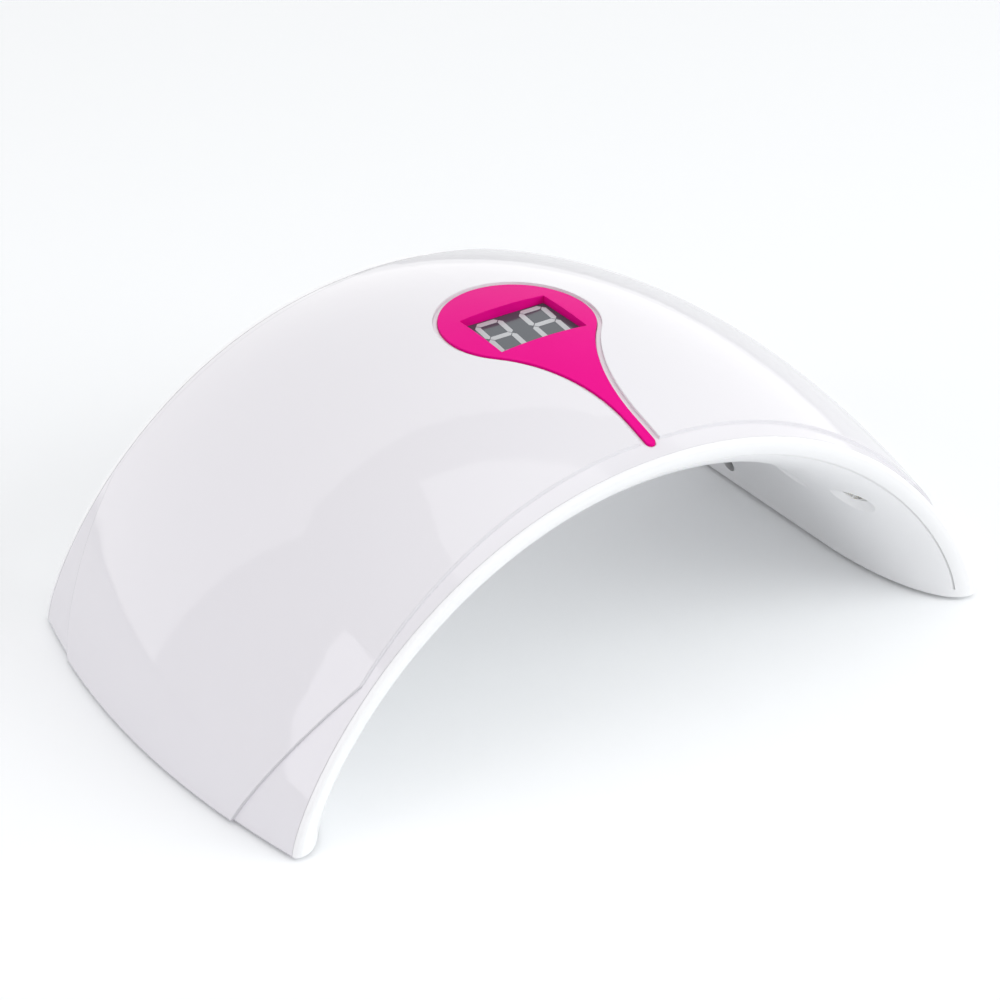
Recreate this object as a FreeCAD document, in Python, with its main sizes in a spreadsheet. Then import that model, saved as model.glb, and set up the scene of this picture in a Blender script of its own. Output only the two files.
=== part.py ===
import FreeCAD, Part
import Sketcher
import math
import os
import re

from FreeCAD import Matrix, Placement, Rotation, Vector

# Arched table-top lamp that cures nail gel under rows of ultraviolet beads.
# Frame: origin on the table under the middle of the lamp, +Z up, -Y the side
# that the hand goes in, all lengths in millimetres.

doc = FreeCAD.newDocument("nail_lamp")
sheet = doc.addObject("Spreadsheet::Sheet", "Sizes")

SIZES = [
    # housing as a whole
    ("overall_depth", 124.0, "front lip crest to the rear end of the buttons"),
    ("leg_width", 24.4, "tunnel side to the main panel, at mid depth, on the table"),
    ("leg_end_width", 17.3, "the same at the cover's front and rear edge"),
    ("crown_space", 26.9, "tunnel crown to the top of the main panel at mid depth"),
    ("crown_end_space", 16.2, "the same, with the main panel carried to the edges"),
    ("cover_wall", 2.0, "cover thickness outside the main panel"),
    ("panel_step", 0.8, "height of the main panel over the edge band"),
    ("edge_band", 4.6, "depth of the edge band at the crown"),
    ("shoulder_band", 2.2, "depth of the edge band where the corner facet starts"),
    ("facet_depth", 20.0, "how far the corner facet reaches back along the table"),
    ("facet_height", 38.0, "how far the corner facet reaches up"),
    ("cover_shoulder_rise", 0.164, "height of the arch curve's side pole, of the arch height"),
    ("cover_crown_reach", 0.689, "reach of the arch curve's crown pole, of the half width"),
    ("joint_gap", 0.1, "gap between the cover and the liner"),
    ("ground_clearance", 1.0, "rubber feet below the housing"),
    # liner
    ("lip_proud", 1.5, "front lip crest ahead of the cover's edge"),
    ("lip_flare", 14.8, "lip crest outside the tunnel side, on the table"),
    ("lip_drop", 1.2, "top of the lip crest below the main panel's edge height"),
    ("lip_shoulder_rise", 0.223, "side pole of the lip's arch"),
    ("lip_crown_reach", 0.649, "crown pole of the lip's arch"),
    ("flare_depth", 40.0, "depth over which the tunnel narrows from the lip"),
    ("tunnel_width", 169.0, "clear width of the hand tunnel, on the table"),
    ("tunnel_height", 57.0, "clear height of the hand tunnel"),
    ("tunnel_shoulder_rise", 0.26, "side pole of the tunnel's arch"),
    ("tunnel_crown_reach", 0.63, "crown pole of the tunnel's arch"),
    ("liner_wall", 1.8, "liner thickness"),
    ("rear_flange", 1.4, "thickness of the liner's rear flange"),
    ("sole_thickness", 2.4, "thickness of the plate that closes each leg"),
    # bezel and display
    ("bezel_radius", 19.2, "round head of the bezel"),
    ("bezel_centre", -1.8, "middle of the round head, along the depth"),
    ("bezel_neck_radius", 52.0, "hollow curves between head and tail"),
    ("bezel_tail_width", 2.5, "tail of the bezel"),
    ("bezel_tail_end", 3.3, "tip of the tail behind the cover's front edge"),
    ("bezel_thickness", 1.5, "plate of the bezel"),
    ("bezel_inset", 0.25, "bezel face below the main panel"),
    ("bezel_wall", 1.2, "wall round the window"),
    ("channel_margin", 1.2, "channel round the bezel's head"),
    ("channel_tail_width", 5.4, "channel along the tail"),
    ("window_width", 24.6, "display window"),
    ("window_depth", 18.2, "display window, along the depth"),
    ("window_centre", -4.3, "middle of the window, along the depth"),
    ("display_recess", 5.5, "display face below the top of the cover"),
    ("display_width", 25.2, "two-digit display case"),
    ("display_depth", 19.0, "two-digit display case, along the depth"),
    ("display_height", 8.0, "two-digit display case"),
    ("digit_height", 14.2, "height of a digit"),
    ("digit_width", 8.0, "width of a digit"),
    ("digit_pitch", 12.7, "middle to middle of the two digits"),
    ("segment_width", 1.5, "width of a lit bar"),
    ("segment_gap", 0.3, "dark gap between bars"),
    ("segment_thickness", 0.6, "cast depth of the bars"),
    ("digit_slant_angle", 8.0, "slant of the digits, in degrees"),
    ("header_width", 2.5, "socket strips under the display"),
    ("header_length", 12.6, "five-way socket strip"),
    ("pin_pitch", 2.54, "display pins"),
    ("pin_width", 0.5, "display pins"),
    ("pin_length", 5.0, "display pins below the case"),
    ("pin_row_margin", 0.5, "socket strips inside the display's front and rear edge"),
    # control board
    ("board_gap", 4.2, "underside of the board over the tunnel's crown"),
    ("board_thickness", 1.6, "control board"),
    ("board_width", 56.0, "control board"),
    ("board_front", -36.0, "front edge of the board"),
    ("board_overhang", 0.3, "board behind the switches"),
    ("board_post_spacing", 44.0, "across the lamp, between the board's posts"),
    ("board_post_front", -32.5, "front pair of posts"),
    ("board_post_rear", 44.0, "rear pair of posts"),
    ("board_post_diameter", 5.0, "posts on the liner"),
    ("board_screw_diameter", 2.0, "board screws"),
    ("board_screw_length", 6.0, "board screws, below the head"),
    ("screw_hole_play", 0.4, "diameter play of a through hole"),
    ("pilot_play", 0.06, "diameter play of a tapped hole"),
    # parts on the board
    ("chip_length", 10.0, "controller chip"),
    ("chip_width", 6.0, "controller chip"),
    ("chip_height", 1.7, "controller chip"),
    ("chip_across", 0.0, "controller chip from the middle"),
    ("chip_depth", 24.0, "controller chip, coil and capacitor, along the depth"),
    ("coil_size", 6.0, "power coil"),
    ("coil_height", 3.0, "power coil"),
    ("coil_across", -14.0, "power coil from the middle"),
    ("capacitor_diameter", 6.3, "storage capacitor"),
    ("capacitor_height", 5.4, "storage capacitor"),
    ("capacitor_across", 14.0, "storage capacitor from the middle"),
    ("connector_length", 14.0, "connector of the bead and sensor leads"),
    ("connector_width", 5.0, "connector of the bead and sensor leads"),
    ("connector_height", 6.0, "connector of the bead and sensor leads"),
    # buttons and switches
    ("button_spacing", 30.0, "middle to middle of the two buttons"),
    ("button_width", 9.0, "button cap"),
    ("button_height", 4.0, "button cap"),
    ("button_proud", 1.0, "button cap beyond the rear flange"),
    ("button_play", 0.3, "gap round the cap in its slot"),
    ("button_rim", 0.6, "retaining rim round the cap's root"),
    ("button_rim_thickness", 1.0, "retaining rim round the cap's root"),
    ("button_rest_gap", 0.2, "retaining rim to the flange, at rest"),
    ("button_travel", 0.35, "press until the switch clicks home"),
    ("switch_axis", 2.7, "switch plunger over the board"),
    ("switch_width", 6.0, "tact switch case"),
    ("switch_height", 5.4, "tact switch case"),
    ("switch_depth", 3.6, "tact switch case"),
    ("plunger_diameter", 3.5, "tact switch plunger"),
    ("plunger_length", 3.2, "tact switch plunger, outside the case"),
    ("plunger_root", 1.0, "tact switch plunger, inside the case"),
    # power socket
    ("socket_bore", 5.7, "mouth for the plug"),
    ("socket_barrel", 8.0, "round nose of the socket"),
    ("socket_width", 9.0, "socket case"),
    ("socket_height", 8.4, "socket case"),
    ("socket_length", 14.0, "whole socket along the plug"),
    ("socket_bore_depth", 9.5, "depth of the mouth"),
    ("socket_pin_diameter", 2.0, "centre pin"),
    ("socket_pin_length", 8.5, "centre pin, free length"),
    ("socket_rise", 2.9, "socket axis over the board's top"),
    # ultraviolet beads
    ("bead_row_front", -48.5, "front row of beads"),
    ("bead_row_pitch", 22.0, "row to row"),
    ("bead_spread_angle", 32.5, "bead to bead round the arch, in degrees"),
    ("dish_diameter", 12.5, "reflector dish at the tunnel's surface"),
    ("dish_throat", 7.4, "bottom of the dish"),
    ("dish_depth", 1.6, "sloping part of the dish"),
    ("seat_height", 2.6, "bead board's seat behind the tunnel's surface"),
    ("seat_root", 1.5, "how far a bead board's pad is carried into the liner"),
    ("seat_diameter", 15.0, "pad that carries a bead board"),
    ("bead_board_size", 12.0, "square aluminium bead board"),
    ("bead_board_thickness", 1.0, "square aluminium bead board"),
    ("bead_size", 5.0, "bead case"),
    ("bead_height", 0.8, "bead case"),
    ("phosphor_diameter", 3.4, "yellow disc in the bead"),
    ("phosphor_height", 0.15, "yellow disc in the bead"),
    ("lens_diameter", 4.6, "clear dome"),
    ("lens_height", 1.1, "clear dome"),
    # hand sensor
    ("sensor_depth", 18.6, "infrared pair, along the depth"),
    ("sensor_height", 7.0, "infrared pair over the table"),
    ("sensor_diameter", 5.0, "infrared packages"),
    ("sensor_length", 8.6, "infrared packages"),
    ("sensor_rim", 5.8, "rim at the root of a package"),
    ("sensor_rim_thickness", 1.0, "rim at the root of a package"),
    ("sensor_play", 0.2, "diameter play of a package in its sleeve"),
    ("sensor_sleeve", 1.4, "wall of the sleeve"),
    ("sensor_lead", 0.5, "leads of a package"),
    ("sensor_lead_length", 4.0, "leads of a package"),
    # fixings and feet
    ("cover_screw_margin", 13.0, "cover screws outside the tunnel side"),
    ("cover_screw_depth", 28.0, "cover screws from mid depth"),
    ("cover_screw_diameter", 2.6, "cover screws"),
    ("cover_screw_length", 9.0, "cover screws, below the head"),
    ("cover_screw_head", 5.0, "cover screws"),
    ("cover_screw_head_height", 1.2, "cover screws"),
    ("cover_boss_diameter", 6.6, "screw bosses in the cover"),
    ("foot_diameter", 9.0, "rubber feet"),
    ("foot_recess", 0.8, "depth of a foot's seat in the sole"),
    ("foot_margin", 10.0, "feet outside the tunnel side"),
    ("foot_edge", 0.5, "bevel round a foot"),
    ("foot_depth", 44.0, "feet from mid depth"),
]

for row, (alias, value, note) in enumerate(SIZES, start=1):
    sheet.set(f"A{row}", note)
    sheet.set(f"B{row}", str(value))
    sheet.setAlias(f"B{row}", alias)
doc.recompute()

size = {alias: float(sheet.get(alias)) for alias, value, note in SIZES}


# ---------------------------------------------------------------- stations
# Planes across the depth and levels over the table that several pieces share.

front = -size["overall_depth"] / 2
rear = size["overall_depth"] / 2 - size["button_proud"]
cover_front = front + size["lip_proud"]
cover_rear = rear - size["rear_flange"] - size["joint_gap"]
cover_middle = (cover_front + cover_rear) / 2
flange_inner = rear - size["rear_flange"]
sole_bottom = size["ground_clearance"]
sole_top = sole_bottom + size["sole_thickness"]
board_bottom = size["tunnel_height"] + size["board_gap"]
board_top = board_bottom + size["board_thickness"]
display_top = size["tunnel_height"] + size["crown_space"] - size["display_recess"]
display_bottom = display_top - size["display_height"]
switch_axis_height = board_top + size["switch_axis"]
socket_axis_height = board_top + size["socket_rise"]
cover_half_width = size["tunnel_width"] / 2 + size["leg_width"]
cover_end_half_width = size["tunnel_width"] / 2 + size["leg_end_width"]
cover_height = size["tunnel_height"] + size["crown_space"]
cover_end_height = size["tunnel_height"] + size["crown_end_space"]
lip_half_width = size["tunnel_width"] / 2 + size["lip_flare"]
lip_height = cover_end_height - size["lip_drop"]


# ------------------------------------------------------------- arch shapes

def arch_poles(half_width, height, rise, reach):
    """Poles of the right half of an arch, from the table to the crown."""
    return [
        (half_width, 0),
        (half_width, rise * height),
        (reach * half_width, height),
        (0, height),
    ]


def arch_wire(half_width, height, rise, reach, depth):
    """Closed arch section that stands on the table in the plane Y = depth."""
    right = Part.BezierCurve()
    poles = arch_poles(half_width, height, rise, reach)
    right.setPoles([Vector(x, depth, z) for x, z in poles])
    left = Part.BezierCurve()
    left.setPoles([Vector(-x, depth, z) for x, z in reversed(poles)])
    floor = Part.LineSegment(Vector(-half_width, depth, 0), Vector(half_width, depth, 0))
    return Part.Wire([right.toShape(), left.toShape(), floor.toShape()])


def vault(sections):
    """Solid loft through (half_width, height, rise, reach, depth) sections."""
    return Part.makeLoft([arch_wire(*section) for section in sections], True, False)


def cover_section(depth, inset):
    """Section of the cover, inset below the main panel's outer surface."""
    half_length = (cover_rear - cover_front) / 2
    share = ((depth - cover_middle) / half_length) ** 2
    half_width = cover_half_width + share * (cover_end_half_width - cover_half_width)
    height = cover_height + share * (cover_end_height - cover_height)
    return (
        half_width - inset,
        height - inset,
        size["cover_shoulder_rise"],
        size["cover_crown_reach"],
        depth,
    )


def cover_vault(inset, overrun=0.0):
    """The cover's double-curved form, inset, and longer at both ends by overrun."""
    stations = 7
    start = cover_front - overrun
    step = (cover_rear - cover_front + 2 * overrun) / (stations - 1)
    return vault([cover_section(start + step * i, inset) for i in range(stations)])


def tunnel_section(depth, outset=0.0):
    """Section of the hand tunnel, which flares out in a quarter ellipse to the lip."""
    share = min(1.0, max(0.0, 1 - (depth - outset - front) / size["flare_depth"]))
    narrowing = math.sqrt(1 - share ** 2)
    blend = lambda lip, tunnel: lip + narrowing * (tunnel - lip)
    return (
        blend(lip_half_width, size["tunnel_width"] / 2) + outset,
        blend(lip_height, size["tunnel_height"]) + outset,
        blend(size["lip_shoulder_rise"], size["tunnel_shoulder_rise"]),
        blend(size["lip_crown_reach"], size["tunnel_crown_reach"]),
        depth,
    )


def tunnel_vault(outset, overrun):
    """The hand tunnel with its flare, set outward, and run past the rear."""
    flare_end = front + outset + size["flare_depth"]
    flare = vault([
        tunnel_section(flare_end - size["flare_depth"] * math.cos(math.radians(turn)), outset)
        for turn in range(0, 91, 15)
    ])
    straight = vault([tunnel_section(depth, outset) for depth in (flare_end, rear + overrun)])
    return flare.fuse(straight)


def tunnel_point(depth, angle):
    """Point of the tunnel's surface, angle degrees round from the crown."""
    half_width, height, rise, reach, depth = tunnel_section(depth)
    curve = Part.BezierCurve()
    poles = arch_poles(half_width, height, rise, reach)
    curve.setPoles([Vector(x, depth, z) for x, z in poles])
    low, high = 0.0, 1.0
    for _ in range(40):
        middle = (low + high) / 2
        point = curve.value(middle)
        if math.degrees(math.atan2(point.x, point.z)) > abs(angle):
            low = middle
        else:
            high = middle
    point = curve.value(high)
    return Vector(math.copysign(point.x, angle), point.y, point.z)


def tunnel_frame(depth, angle):
    """Placement on the tunnel's surface whose +Z points out of the tunnel."""
    origin = tunnel_point(depth, angle)
    along = tunnel_point(depth + 0.5, angle) - tunnel_point(depth - 0.5, angle)
    around = tunnel_point(depth, angle + 0.5) - tunnel_point(depth, angle - 0.5)
    outward = around.cross(along)
    if outward.z < 0:
        outward = outward * -1
    return Placement(origin, Rotation(along.cross(outward), along, outward, "ZYX"))


# ----------------------------------------------------------- drawing helpers

def tied(expression):
    """Expression on the size sheet, from one written with the bare aliases."""
    return re.sub(r"[a-z][a-z_]+", lambda name: "Sizes." + name.group(), expression)


def origin_plane(body, role):
    return [f for f in body.Origin.OriginFeatures if f.Role == role][0]


def new_sketch(body, name, role="XY_Plane", offset=None):
    """Sketch on one of the body's origin planes, lifted by an expression."""
    sketch = body.newObject("Sketcher::SketchObject", name)
    sketch.AttachmentSupport = [(origin_plane(body, role), "")]
    sketch.MapMode = "FlatFace"
    if offset:
        sketch.setExpression("AttachmentOffset.Base.z", tied(offset))
    return sketch


def drive(sketch, kind, refs, expression):
    """Dimension that takes its value from the size sheet."""
    index = sketch.addConstraint(Sketcher.Constraint(kind, *refs, 1.0))
    sketch.setExpression(f"Constraints[{index}]", tied(expression))


def add_rectangle(sketch, width, depth, x=None, y=None):
    """Rectangle of driven width and depth about a driven middle (default the origin)."""
    first = sketch.GeometryCount
    corners = [Vector(-1, -1, 0), Vector(1, -1, 0), Vector(1, 1, 0), Vector(-1, 1, 0)]
    for i in range(4):
        sketch.addGeometry(Part.LineSegment(corners[i], corners[(i + 1) % 4]), False)
    for i in range(4):
        after = first + (i + 1) % 4
        sketch.addConstraint(Sketcher.Constraint("Coincident", first + i, 2, after, 1))
        direction = "Horizontal" if i % 2 == 0 else "Vertical"
        sketch.addConstraint(Sketcher.Constraint(direction, first + i))
    drive(sketch, "DistanceX", (first, 1, first, 2), width)
    drive(sketch, "DistanceY", (first + 1, 1, first + 1, 2), depth)
    if x is None and y is None:
        sketch.addConstraint(Sketcher.Constraint("Symmetric", first, 1, first + 1, 2, -1, 1))
        return
    drive(sketch, "DistanceX", (-1, 1, first, 1), f"({x or 0}) - ({width}) / 2")
    drive(sketch, "DistanceY", (-1, 1, first, 1), f"({y or 0}) - ({depth}) / 2")


def add_circle(sketch, diameter, x=None, y=None):
    """Circle of driven diameter about a driven middle (default the origin)."""
    index = sketch.addGeometry(Part.Circle(Vector(0, 0, 0), Vector(0, 0, 1), 1.0), False)
    drive(sketch, "Diameter", (index,), diameter)
    if x is None and y is None:
        sketch.addConstraint(Sketcher.Constraint("Coincident", index, 3, -1, 1))
        return
    drive(sketch, "DistanceX", (-1, 1, index, 3), x or "0")
    drive(sketch, "DistanceY", (-1, 1, index, 3), y or "0")


def pad(body, sketch, length, reversed_=False):
    feature = body.newObject("PartDesign::Pad", sketch.Name + "_pad")
    feature.Profile = sketch
    feature.Reversed = reversed_
    feature.setExpression("Length", tied(length))
    sketch.Visibility = False
    return feature


def pocket(body, sketch, length, reversed_=False):
    feature = body.newObject("PartDesign::Pocket", sketch.Name + "_pocket")
    feature.Profile = sketch
    feature.Reversed = reversed_
    feature.setExpression("Length", tied(length))
    sketch.Visibility = False
    return feature


def revolve(body, name, corners):
    """Body of revolution about Z; corners are (radius, height) expressions."""
    sketch = new_sketch(body, name, "XZ_Plane")
    count = len(corners)
    ring = [
        Vector(math.cos(2 * math.pi * i / count) + 2, math.sin(2 * math.pi * i / count), 0)
        for i in range(count)
    ]
    for i in range(count):
        sketch.addGeometry(Part.LineSegment(ring[i], ring[(i + 1) % count]), False)
    for i in range(count):
        sketch.addConstraint(Sketcher.Constraint("Coincident", i, 2, (i + 1) % count, 1))
    for i, (radius, height) in enumerate(corners):
        if radius == "0":
            sketch.addConstraint(Sketcher.Constraint("PointOnObject", i, 1, -2))
        else:
            drive(sketch, "DistanceX", (-1, 1, i, 1), radius)
        if height == "0":
            sketch.addConstraint(Sketcher.Constraint("PointOnObject", i, 1, -1))
        else:
            drive(sketch, "DistanceY", (-1, 1, i, 1), height)
    feature = body.newObject("PartDesign::Revolution", name + "_turned")
    feature.Profile = sketch
    feature.ReferenceAxis = (sketch, ["V_Axis"])
    feature.Angle = 360
    return feature


nodes = []


def node(name, obj):
    """Register a sub-part under the name of its file."""
    obj.Label = name
    nodes.append(obj)
    return obj


def new_body(name):
    return node(name, doc.addObject("PartDesign::Body", name))


def shaped(name, shape):
    """Sub-part whose shape is computed, for forms on the double-curved shell."""
    feature = doc.addObject("Part::Feature", name)
    feature.Shape = shape
    return node(name, feature)


def place(obj, x="0", y="0", z="0"):
    for axis, expression in (("x", x), ("y", y), ("z", z)):
        obj.setExpression(f".Placement.Base.{axis}", tied(expression))


def box(x_range, y_range, z_range):
    lengths = [high - low for low, high in (x_range, y_range, z_range)]
    return Part.makeBox(*lengths, Vector(x_range[0], y_range[0], z_range[0]))


def cylinder(diameter, start, direction, length):
    return Part.makeCylinder(diameter / 2, length, start, direction)


def mirrored(shape):
    """The same shape on the other side of the lamp."""
    return shape.mirror(Vector(0, 0, 0), Vector(1, 0, 0))


UP = Vector(0, 0, 1)
RIGHT = Vector(1, 0, 0)
REARWARD = Vector(0, 1, 0)
BEYOND = 4 * cover_half_width     # longer than anything it cuts


# ------------------------------------------------------------ plan outlines

def keyhole(radius, tail_half_width, neck_radius, tail_end, rounded_tip):
    """Face of a round head with hollow curves running into a straight tail."""
    centre_y = size["bezel_centre"]
    neck_x = tail_half_width + neck_radius
    neck_y = centre_y - math.sqrt((radius + neck_radius) ** 2 - neck_x ** 2)
    head_share = radius / (radius + neck_radius)
    touch = Vector(neck_x * head_share, centre_y + (neck_y - centre_y) * head_share, 0)
    tail_top = Vector(tail_half_width, neck_y, 0)
    middle_angle = math.atan2(
        (tail_top.y + touch.y) / 2 - neck_y, (tail_top.x + touch.x) / 2 - neck_x
    )
    hollow = Vector(
        neck_x + neck_radius * math.cos(middle_angle),
        neck_y + neck_radius * math.sin(middle_angle),
        0,
    )
    flip = lambda point: Vector(-point.x, point.y, 0)
    head_top = Vector(0, centre_y + radius, 0)
    edges = [
        Part.Arc(touch, head_top, flip(touch)).toShape(),
        Part.Arc(flip(touch), flip(hollow), flip(tail_top)).toShape(),
        Part.Arc(tail_top, hollow, touch).toShape(),
    ]
    tip_y = tail_end + (tail_half_width if rounded_tip else 0)
    tip = Vector(tail_half_width, tip_y, 0)
    edges.append(Part.LineSegment(flip(tail_top), flip(tip)).toShape())
    if rounded_tip:
        edges.append(Part.Arc(flip(tip), Vector(0, tail_end, 0), tip).toShape())
    else:
        edges.append(Part.LineSegment(flip(tip), tip).toShape())
    edges.append(Part.LineSegment(tip, tail_top).toShape())
    return Part.Face(Part.Wire(Part.__sortEdges__(edges)))


def column(face):
    """Tall prism over a plan outline."""
    return face.extrude(UP * BEYOND)


bezel_tip = cover_front + size["bezel_tail_end"]
bezel_plan = column(
    keyhole(
        size["bezel_radius"],
        size["bezel_tail_width"] / 2,
        size["bezel_neck_radius"],
        bezel_tip,
        True,
    )
)
channel_plan = column(
    keyhole(
        size["bezel_radius"] + size["channel_margin"],
        size["channel_tail_width"] / 2,
        size["bezel_neck_radius"] - size["channel_margin"],
        cover_front - 1,
        False,
    )
)
seat_plan = column(
    keyhole(
        size["bezel_radius"] + size["joint_gap"],
        size["bezel_tail_width"] / 2 + size["joint_gap"],
        size["bezel_neck_radius"] - size["joint_gap"],
        bezel_tip - size["joint_gap"],
        True,
    )
)


def window_column(margin):
    """Rectangle of the display window, larger all round by margin."""
    half_width = size["window_width"] / 2 + margin
    half_depth = size["window_depth"] / 2 + margin
    middle = size["window_centre"]
    return box((-half_width, half_width), (middle - half_depth, middle + half_depth), (0, BEYOND))


# -------------------------------------------------------------- outer cover
# A double-curved shell. Its main panel stands one step above an edge band
# that widens into a facet at each corner; the bezel's channel is cut through
# the panel and runs out through its front edge.

band_inset = size["panel_step"]
inner_inset = size["panel_step"] + size["cover_wall"]


def panel_side_face():
    """Side view of the main panel, as a face in the YZ plane."""
    profile = [
        (size["facet_depth"], 0),
        (size["shoulder_band"], size["facet_height"]),
        (size["edge_band"], cover_end_height),
        (size["edge_band"], cover_height + 1),
    ]
    front_side = [Vector(-BEYOND / 2, cover_front + inset, z) for inset, z in profile]
    rear_side = [Vector(-BEYOND / 2, cover_rear - inset, z) for inset, z in reversed(profile)]
    ring = front_side + rear_side
    return Part.Face(Part.makePolygon(ring + ring[:1]))


main_panel = cover_vault(0).common(panel_side_face().extrude(RIGHT * BEYOND))
main_panel = main_panel.cut(channel_plan)
cover_solid = cover_vault(band_inset).fuse(main_panel)
cavity = cover_vault(inner_inset, overrun=1.0)
cover_solid = cover_solid.cut(cavity)
bezel_floor = cover_vault(size["bezel_inset"] + size["bezel_thickness"] + size["joint_gap"])
cover_solid = cover_solid.cut(seat_plan.cut(bezel_floor))
cover_solid = cover_solid.cut(window_column(size["bezel_wall"] + size["joint_gap"]))
cover_solid = cover_solid.cut(
    box((-BEYOND, BEYOND), (-BEYOND, BEYOND), (-1, sole_bottom))
)

screw_x = size["tunnel_width"] / 2 + size["cover_screw_margin"]
boss_bottom = sole_top + size["joint_gap"]
screw_spots = [
    Vector(side * screw_x, cover_middle + end * size["cover_screw_depth"], 0)
    for side in (-1, 1)
    for end in (-1, 1)
]
boss_limit = cover_vault(band_inset + size["cover_wall"] / 2)
for spot in screw_spots:
    boss = cylinder(size["cover_boss_diameter"], spot + UP * boss_bottom, UP, BEYOND)
    cover_solid = cover_solid.fuse(boss.common(boss_limit))
for spot in screw_spots:
    pilot = cylinder(
        size["cover_screw_diameter"] + size["pilot_play"],
        spot + UP * (boss_bottom - 1),
        UP,
        size["cover_screw_length"] + 1,
    )
    cover_solid = cover_solid.cut(pilot)
outer_cover = shaped("outer_cover", cover_solid)


# -------------------------------------------------------------- inner liner
# The hand tunnel with its rolled front lip, the rear flange, the soles that
# close the legs, the seats of the beads and the posts of the control board.

def lip_ring(depths_and_insets):
    """Solid through cover-shaped sections, each (depth, inset below the band)."""
    sections = []
    for depth, inset in depths_and_insets:
        clamped = min(max(depth, cover_front), cover_rear)
        half_width, height, rise, reach, _ = cover_section(clamped, band_inset + inset)
        sections.append((half_width, height, rise, reach, depth))
    return vault(sections)


def front_lip():
    """Front of the liner, rolled from the cover's edge to the lip crest."""
    crest = tunnel_section(front)
    edge_depth = cover_front - size["joint_gap"]
    half_width, height, rise, reach, _ = cover_section(cover_front, band_inset)
    sections = []
    for turn in (0.0, 30.0, 60.0, 90.0):
        ahead = math.cos(math.radians(turn))
        outward = math.sin(math.radians(turn))
        mix = lambda at_crest, at_edge: at_crest + outward * (at_edge - at_crest)
        sections.append((
            mix(crest[0], half_width),
            mix(crest[1], height),
            mix(crest[2], rise),
            mix(crest[3], reach),
            edge_depth - ahead * (edge_depth - front),
        ))
    return vault(sections)


tunnel_void = tunnel_vault(0, overrun=2.0)
inner_space = cover_vault(inner_inset + size["joint_gap"], overrun=size["joint_gap"])
tunnel_shell = tunnel_vault(size["liner_wall"], overrun=0.0)
tunnel_shell = tunnel_shell.common(
    box((-BEYOND, BEYOND), (-BEYOND, flange_inner), (0, BEYOND))
)
sole_slab = box((-BEYOND, BEYOND), (-BEYOND, BEYOND), (sole_bottom, sole_top))
liner_solid = tunnel_shell.common(inner_space).fuse(inner_space.common(sole_slab))
liner_solid = liner_solid.fuse(front_lip())
liner_solid = liner_solid.fuse(lip_ring([(flange_inner, 0.0), (rear, 0.3)]))

bead_frames = [
    tunnel_frame(
        size["bead_row_front"] + row * size["bead_row_pitch"],
        column_index * size["bead_spread_angle"],
    )
    for row in range(3)
    for column_index in (-2, -1, 0, 1, 2)
]


def at_frame(shape, frame):
    moved = shape.copy()
    moved.Placement = frame.multiply(moved.Placement)
    return moved


pad_shape = cylinder(
    size["seat_diameter"],
    UP * -size["seat_root"],
    UP,
    size["seat_root"] + size["seat_height"],
)
for frame in bead_frames:
    liner_solid = liner_solid.fuse(at_frame(pad_shape, frame))

post_x = size["board_post_spacing"] / 2
post_spots = [
    Vector(side * post_x, depth, 0)
    for side in (-1, 1)
    for depth in (size["board_post_front"], size["board_post_rear"])
]
for spot in post_spots:
    post = cylinder(size["board_post_diameter"], spot, UP, board_bottom)
    liner_solid = liner_solid.fuse(post)

sleeve_diameter = size["sensor_diameter"] + size["sensor_play"] + 2 * size["sensor_sleeve"]
sensor_spot = Vector(0, size["sensor_depth"], size["sensor_height"])
sensor_nose = tunnel_section(size["sensor_depth"])[0]
rim_seat = sensor_nose + size["sensor_length"] - size["sensor_rim_thickness"]
sleeve = cylinder(sleeve_diameter, sensor_spot, RIGHT, rim_seat)
liner_solid = liner_solid.fuse(sleeve).fuse(mirrored(sleeve))

liner_solid = liner_solid.cut(tunnel_void)
liner_solid = liner_solid.cut(
    box((-BEYOND, BEYOND), (-BEYOND, BEYOND), (-1, sole_bottom))
)

dish = Part.makeCone(
    size["dish_diameter"] / 2 + (size["dish_diameter"] - size["dish_throat"]) / 2,
    size["dish_throat"] / 2,
    2 * size["dish_depth"],
    UP * -size["dish_depth"],
    UP,
)
dish = dish.fuse(
    cylinder(size["dish_throat"], UP * 0, UP, size["seat_height"] + 0.5)
)
seat_width = size["bead_board_size"] / 2 + 2 * size["joint_gap"]
seat_clearing = box(
    (-seat_width, seat_width),
    (-seat_width, seat_width),
    (size["seat_height"], size["seat_height"] + 3 * size["bead_board_thickness"]),
)
for frame in bead_frames:
    liner_solid = liner_solid.cut(at_frame(dish.fuse(seat_clearing), frame))

for spot in post_spots:
    pilot = cylinder(
        size["board_screw_diameter"] + size["pilot_play"],
        spot + UP * (board_bottom - size["board_screw_length"] + size["board_thickness"]),
        UP,
        size["board_screw_length"],
    )
    liner_solid = liner_solid.cut(pilot)

sensor_bore = cylinder(
    size["sensor_diameter"] + size["sensor_play"],
    sensor_spot + RIGHT * (sensor_nose - size["sensor_length"]),
    RIGHT,
    2 * size["sensor_length"],
)
liner_solid = liner_solid.cut(sensor_bore).cut(mirrored(sensor_bore))

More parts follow.
